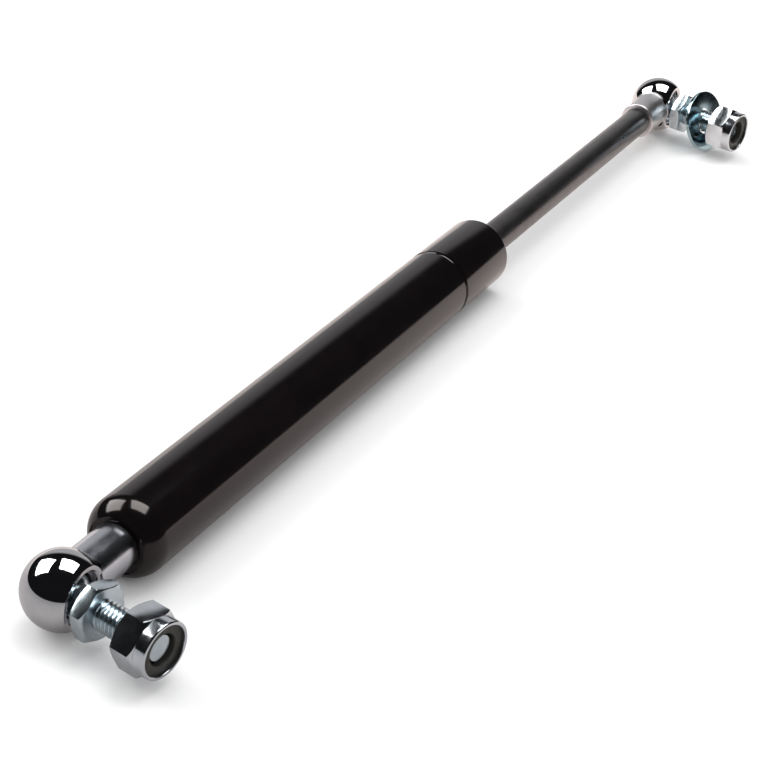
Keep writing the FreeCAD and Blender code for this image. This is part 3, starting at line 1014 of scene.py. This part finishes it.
@dataclass
class LockNut:
    """One lock nut with its nylon ring, in millimetres from the ball's centre along the stud."""

    side: Side
    phase: float
    shift: float = 0.0
    start: float = 22.7
    hex_end: float = 29.6
    end: float = 32.7
    flats: float = 15.0
    bore: float = 4.05
    crown: float = 7.45
    crown_rounding: float = 1.1
    mouth: float = 6.5
    seat: float = 6.9
    ring_start: float = 29.5
    ring_end: float = 31.8
    ring_radius: float = 6.85
    ring_play: float = 0.05
    crown_lap: float = 1.0
    mouth_rounding: float = 0.3
    ring_mouth_rounding: float = 0.35
    small_rounding: float = 0.1

    def _crown(self) -> Mesh:
        """The round crown that holds the nylon ring.

        Returns:
            A new mesh with the axis on Z.
        """
        inside = self.hex_end - self.crown_lap
        lip = self.ring_end + self.ring_play
        corners = [
            Corner(inside, self.seat),
            Corner(inside, self.crown),
            Corner(self.end, self.crown, self.crown_rounding),
            Corner(self.end, self.mouth, self.mouth_rounding),
            Corner(lip, self.mouth, self.small_rounding),
            Corner(lip, self.seat),
        ]
        return turned(rounded(corners), steps=96)

    def _ring(self) -> Mesh:
        """The nylon ring.

        Returns:
            A new mesh with the axis on Z.
        """
        start = self.ring_start + self.ring_play
        corners = [
            Corner(start, self.bore),
            Corner(start, self.ring_radius),
            Corner(self.ring_end, self.ring_radius, self.small_rounding),
            Corner(self.ring_end, self.bore, self.ring_mouth_rounding),
        ]
        return turned(rounded(corners), steps=72)

    def build(self, effects: Effects) -> None:
        """Makes the nut and its nylon ring.

        Args:
            effects: The shared node groups.
        """
        upright = place_along(self.side.ball, self.side.stud, -ALONG)
        place = upright @ Matrix.Translation((0.0, 0.0, self.shift))
        nut = hexagon(self.start, self.hex_end, self.flats, self.bore, self.phase)
        join(nut, self._crown())
        piece = finish_piece(nut, f"{self.side.value}_end_nut", place, NUT_ZINC.material(effects))
        declare(piece, f"{self.side.value}_side_nut", self.side.node_prefix + "lock_nut")
        ring = finish_piece(self._ring(), f"{self.side.value}_end_nylon_ring", place,
                            PLASTIC_RING.material(effects))
        node = self.side.node_prefix + "nut_insert"
        declare(ring, f"{self.side.value}_side_insert", node)


@dataclass
class Washer:
    """The loose washer on the rod side stud, in millimetres."""

    along: float = 20.6
    radius: float = 11.0
    bore: float = 4.75
    thickness: float = 1.4
    tip_degrees: float = 19.9
    tip_direction: float = -12.8
    crisp_edge: float = 0.15
    soft_edge: float = 0.3

    def build(self, effects: Effects) -> None:
        """Makes the washer.

        Args:
            effects: The shared node groups.
        """
        half = self.thickness / 2
        corners = [
            Corner(-half, self.bore, self.crisp_edge),
            Corner(-half, self.radius, self.soft_edge),
            Corner(half, self.radius, self.crisp_edge),
            Corner(half, self.bore, self.soft_edge),
        ]
        side = Side.ROD
        upright = place_along(side.ball, side.stud, -ALONG)
        direction = math.radians(self.tip_direction)
        hinge = Vector((math.cos(direction), -math.sin(direction), 0.0))
        tip = Matrix.Rotation(math.radians(self.tip_degrees), 4, hinge)
        place = upright @ Matrix.Translation((0.0, 0.0, self.along)) @ tip
        mesh = turned(rounded(corners), steps=112)
        piece = finish_piece(mesh, "loose_washer", place, WASHER_ZINC.material(effects))
        declare(piece, "washer", "rod_side_washer")


def show_only_in_gloss(prop: Object) -> None:
    """Hides a part of the set from everything but glossy surfaces.

    Args:
        prop: The part of the set.
    """
    prop.visible_camera = False
    prop.visible_diffuse = False
    prop.visible_transmission = False
    prop.visible_shadow = False


def background_rays(nodes: Nodes, path: Node) -> Socket:
    """Tells the rays that show the background from those that light the object.

    Args:
        nodes: The nodes of the floor's material or of the world.
        path: Their light path node.

    Returns:
        A value that is 1 for camera, transmission and glossy rays.
    """
    value = path.outputs["Is Camera Ray"]
    for label in ("Is Transmission Ray", "Is Glossy Ray"):
        pair = {0: value, 1: path.outputs[label]}
        value = nodes.add("ShaderNodeMath", pair, operation="MAXIMUM").outputs["Value"]
    return value


@dataclass(frozen=True)
class Softbox:
    """One soft lamp.

    Args:
        name: The lamp's name.
        direction: Where it stands, seen from the strut's near ball.
        distance: How far away it is, in metres.
        width: Its width in metres.
        height: Its height in metres.
        power: Its power in watts.
        brightness: How bright its face looks in a mirror, a painted highlight.
        twist: Turn about its own direction, in degrees.
    """

    name: str
    direction: tuple[float, float, float]
    distance: float
    width: float
    height: float
    power: float
    brightness: float = 8.0
    twist: float = 0.0

    def build(self, target: Vector) -> None:
        """Hangs the lamp and points it at the target.

        Args:
            target: The point that it lights, in metres.
        """
        lamp = bpy.data.lights.new(self.name, "AREA")
        lamp.shape = "RECTANGLE"
        lamp.size = self.width
        lamp.size_y = self.height
        lamp.energy = self.power
        holder = bpy.data.objects.new(self.name, lamp)
        bpy.context.scene.collection.objects.link(holder)
        way = Vector(self.direction).normalized()
        turn = way.to_track_quat("Z", "Y") @ Quaternion((0.0, 0.0, 1.0), math.radians(self.twist))
        holder.rotation_mode = "QUATERNION"
        holder.rotation_quaternion = turn
        holder.location = target + way * self.distance
        # The lamp itself stays out of reflections; its glowing face stands in there as a painted
        # highlight.
        holder.visible_glossy = False
        self._face(Matrix.Translation(holder.location) @ turn.to_matrix().to_4x4())

    def _face(self, place: Matrix) -> None:
        """Gives the lamp a bright face that only glossy surfaces show: a painted highlight, brighter than
        the light the lamp gives, which lights no diffuse surface.

        Args:
            place: Matrix that puts the face at the lamp.
        """
        mesh = bmesh.new()
        bmesh.ops.create_grid(mesh, x_segments=2, y_segments=2, size=0.5)
        size = Matrix.Diagonal((self.width, self.height, 1.0, 1.0))
        material, nodes = bare_material(self.name + "_painted_highlight")
        glow = nodes.add("ShaderNodeEmission", {"Strength": self.brightness})
        nodes.add("ShaderNodeOutputMaterial", {"Surface": glow.outputs["Emission"]})
        face = finish_piece(mesh, self.name + "_face", place @ size, material)
        show_only_in_gloss(face)


@dataclass
class Studio:
    """Floor with painted reflection colours, a dark hood that only paints reflections, lamps and camera.

    Args:
        floor_size: Length of the floor's sides, in metres.
        floor_lit: Floor colour that lights the object.
        floor_seen: Floor colour that the camera sees.
        painted_reflection_front: Floor colour that gloss shows in front of the strut, darker than the
            floor: painted reflection.
        painted_reflection_back: Floor colour that gloss shows behind it, warmer than the floor: painted
            reflection.
        fade: First and last place of that change, in metres along the strut.
        hood_radius: Radius of the hood, in metres.
        painted_dark_reflection: Colour of the hood, a painted dark reflection.
        painted_pale_reflection: Colour of its pale patch, a painted pale reflection.
        pale_way: Direction of the patch.
        pale_edge: Cosines of the angles at which the patch starts and is full.
        world_level: Strength of the world's even light.
    """

    floor_size: float = 60.0
    floor_lit: tuple = (0.80, 0.80, 0.80, 1.0)
    floor_seen: tuple = (1.0, 1.0, 1.0, 1.0)
    # Painted reflection: floor colours that only glossy surfaces show, darker in front and warm behind.
    painted_reflection_front: tuple = (0.36, 0.36, 0.37, 1.0)
    painted_reflection_back: tuple = (1.0, 0.90, 0.86, 1.0)
    fade: tuple = (-0.36, 0.12)
    hood_radius: float = 4.0
    # Painted reflection: the hood's colours, which only glossy surfaces show.
    painted_dark_reflection: tuple = (0.010, 0.010, 0.011, 1.0)
    painted_pale_reflection: tuple = (0.60, 0.59, 0.60, 1.0)
    pale_way: tuple = (0.88, 0.47, 0.0)
    pale_edge: tuple = (0.80, 0.90)
    world_level: float = 0.85

    def _floor(self) -> None:
        """Lays a pale floor under the strut: plain for the camera and the light, with painted reflection
        colours that only glossy rays see.
        """
        mesh = bmesh.new()
        bmesh.ops.create_grid(mesh, x_segments=8, y_segments=8, size=self.floor_size / 2)
        material, nodes = bare_material("pale_floor")
        path = nodes.add("ShaderNodeLightPath")
        plain = nodes.mix(background_rays(nodes, path), self.floor_lit, self.floor_seen)
        shader = nodes.add("ShaderNodeBsdfPrincipled", {
            "Base Color": self._painted_reflection_colour(nodes, path, plain),
            "Roughness": 0.9,
            "Specular IOR Level": 0.0,
        })
        nodes.add("ShaderNodeOutputMaterial", {"Surface": shader.outputs["BSDF"]})
        floor = finish_piece(mesh, "studio_floor", Matrix.Identity(4), material)

    def _painted_reflection_colour(self, nodes: Nodes, path: Node, plain: Socket) -> Socket:
        """Paints the floor's reflection: darkens the front of the floor and warms its back where a glossy
        surface mirrors it.

        Args:
            nodes: The floor material's nodes.
            path: Its light path node.
            plain: The colour that every other ray sees.

        Returns:
            The floor's colour for any ray.
        """
        place = nodes.add("ShaderNodeTexCoord")
        split = nodes.add("ShaderNodeSeparateXYZ", {"Vector": place.outputs["Object"]})
        reach = {"Value": split.outputs["X"], "From Min": self.fade[0], "From Max": self.fade[1]}
        fade = nodes.add("ShaderNodeMapRange", reach, interpolation_type="SMOOTHSTEP")
        mirrored = nodes.mix(fade.outputs["Result"], self.painted_reflection_front, self.painted_reflection_back)
        return nodes.mix(path.outputs["Is Glossy Ray"], plain, mirrored)

    def _hood(self) -> None:
        """Hangs a dark hood with a pale patch over the set, which only glossy surfaces show: it paints
        dark reflections above the strut and a pale reflection towards the patch.
        """
        mesh = bmesh.new()
        bmesh.ops.create_uvsphere(mesh, u_segments=96, v_segments=48, radius=self.hood_radius)
        bmesh.ops.bisect_plane(
            mesh,
            geom=mesh.verts[:] + mesh.edges[:] + mesh.faces[:],
            plane_co=(0.0, 0.0, 0.0),
            plane_no=(0.0, 0.0, -1.0),
            clear_outer=True,
        )
        material, nodes = bare_material("hood_painted_reflection")
        place = nodes.add("ShaderNodeTexCoord")
        aim = nodes.add("ShaderNodeVectorMath", {0: place.outputs["Object"]}, operation="NORMALIZE")
        ways = {0: aim.outputs["Vector"], 1: Vector(self.pale_way).normalized()}
        backdrop = nodes.add("ShaderNodeVectorMath", ways, operation="DOT_PRODUCT")
        start, full = self.pale_edge
        reach = {"Value": backdrop.outputs["Value"], "From Min": start, "From Max": full}
        pale = nodes.add("ShaderNodeMapRange", reach, interpolation_type="SMOOTHSTEP")
        # The pale patch is a painted pale reflection; the rest of the hood paints a dark reflection.
        colour = nodes.mix(pale.outputs["Result"], self.painted_dark_reflection, self.painted_pale_reflection)
        glow = nodes.add("ShaderNodeEmission", {"Color": colour})
        nodes.add("ShaderNodeOutputMaterial", {"Surface": glow.outputs["Emission"]})
        hood = finish_piece(mesh, "studio_reflection_dome", Matrix.Identity(4), material)
        show_only_in_gloss(hood)

    def _world(self) -> None:
        """Fills the set with even light and shows white wherever the floor ends."""
        world = bpy.data.worlds.new("studio_air")
        bpy.context.scene.world = world
        world.use_nodes = True
        world.node_tree.nodes.clear()
        nodes = Nodes(world.node_tree)
        seen = background_rays(nodes, nodes.add("ShaderNodeLightPath"))
        level = nodes.add("ShaderNodeMapRange", {"Value": seen, "To Min": self.world_level, "To Max": 1.0})
        background = nodes.add("ShaderNodeBackground", {
            "Color": (1.0, 1.0, 1.0, 1.0),
            "Strength": level.outputs["Result"],
        })
        nodes.add("ShaderNodeOutputWorld", {"Surface": background.outputs["Background"]})

    def _camera(self) -> None:
        """Puts the camera where the photograph was taken from."""
        lens_px = 2113.6
        frame_px = 768
        right = Vector((0.4492, -0.8861, 0.1140))
        down = Vector((-0.3881, -0.3084, -0.8684))
        forward = Vector((0.8048, 0.3458, -0.4824))
        eye = Vector((-342.0, -220.645, 286.079)) * MM
        lens = bpy.data.cameras.new("photo_camera")
        lens.sensor_width = 36.0
        lens.lens = lens_px * lens.sensor_width / frame_px
        lens.clip_start = 0.01
        lens.clip_end = 100.0
        camera = bpy.data.objects.new("photo_camera", lens)
        bpy.context.scene.collection.objects.link(camera)
        turn = Matrix((right, -down, -forward)).transposed().to_4x4()
        camera.matrix_world = Matrix.Translation(Side.TUBE.ball + eye) @ turn
        bpy.context.scene.camera = camera

    def build(self) -> None:
        """Builds the set."""
        self._floor()
        self._hood()
        self._world()
        for lamp in (
            Softbox("side_softbox", (0.0, 0.75, 0.66), 2.2, 1.55, 1.4, 16.0),
            Softbox("top_softbox", (0.34, -0.03, 0.94), 2.0, 1.3, 1.3, 12.0, twist=25.0),
        ):
            lamp.build(Side.TUBE.ball)
        self._camera()
        bpy.context.scene.view_settings.view_transform = "Standard"


INNER_FINISHES = {
    "tube_thread_stud": PLAIN_STEEL,
    "piston": CAST_ALLOY,
    "piston_ring": SLIDING_PLASTIC,
    "piston_washer": PLAIN_STEEL,
    "piston_disc": PLAIN_STEEL,
    "seal_washer": PLAIN_STEEL,
    "rod_seal": SEAL_RUBBER,
    "rod_guide": GUIDE_BRONZE,
    "tube_end_washer": PLAIN_STEEL,
    "tube_side_snap_ring": CLIP_STEEL,
    "rod_side_snap_ring": CLIP_STEEL,
}


def dress_inner_nodes(effects: Effects) -> None:
    """Gives the CAD nodes that stay on show their finishes.

    Args:
        effects: The shared node groups.
    """
    for name, finish in INNER_FINISHES.items():
        node = frame["nodes"][name]
        node.data.materials.clear()
        node.data.materials.append(finish.material(effects))
        LOG.info("%s keeps its CAD shape in %s", name, finish.name)


# Turns of the collar and the nut in degrees, and how far out the nut sits in millimetres.
END_SETTINGS = {Side.TUBE: (14.0, 5.0, 0.0), Side.ROD: (22.0, 22.0, 3.0)}


def main() -> None:
    """Builds the strut and its studio."""
    logging.basicConfig(level=logging.INFO)
    effects = Effects()
    PressureTube().build(effects)
    Rod().build(effects)
    for side, (collar_turn, nut_turn, shift) in END_SETTINGS.items():
        BallSocket(side).build(effects)
        BallStud(side, math.radians(-collar_turn)).build(effects)
        LockNut(side, math.radians(-nut_turn), shift).build(effects)
    Washer().build(effects)
    dress_inner_nodes(effects)
    Studio().build()


if __name__ == "__main__":
    main()
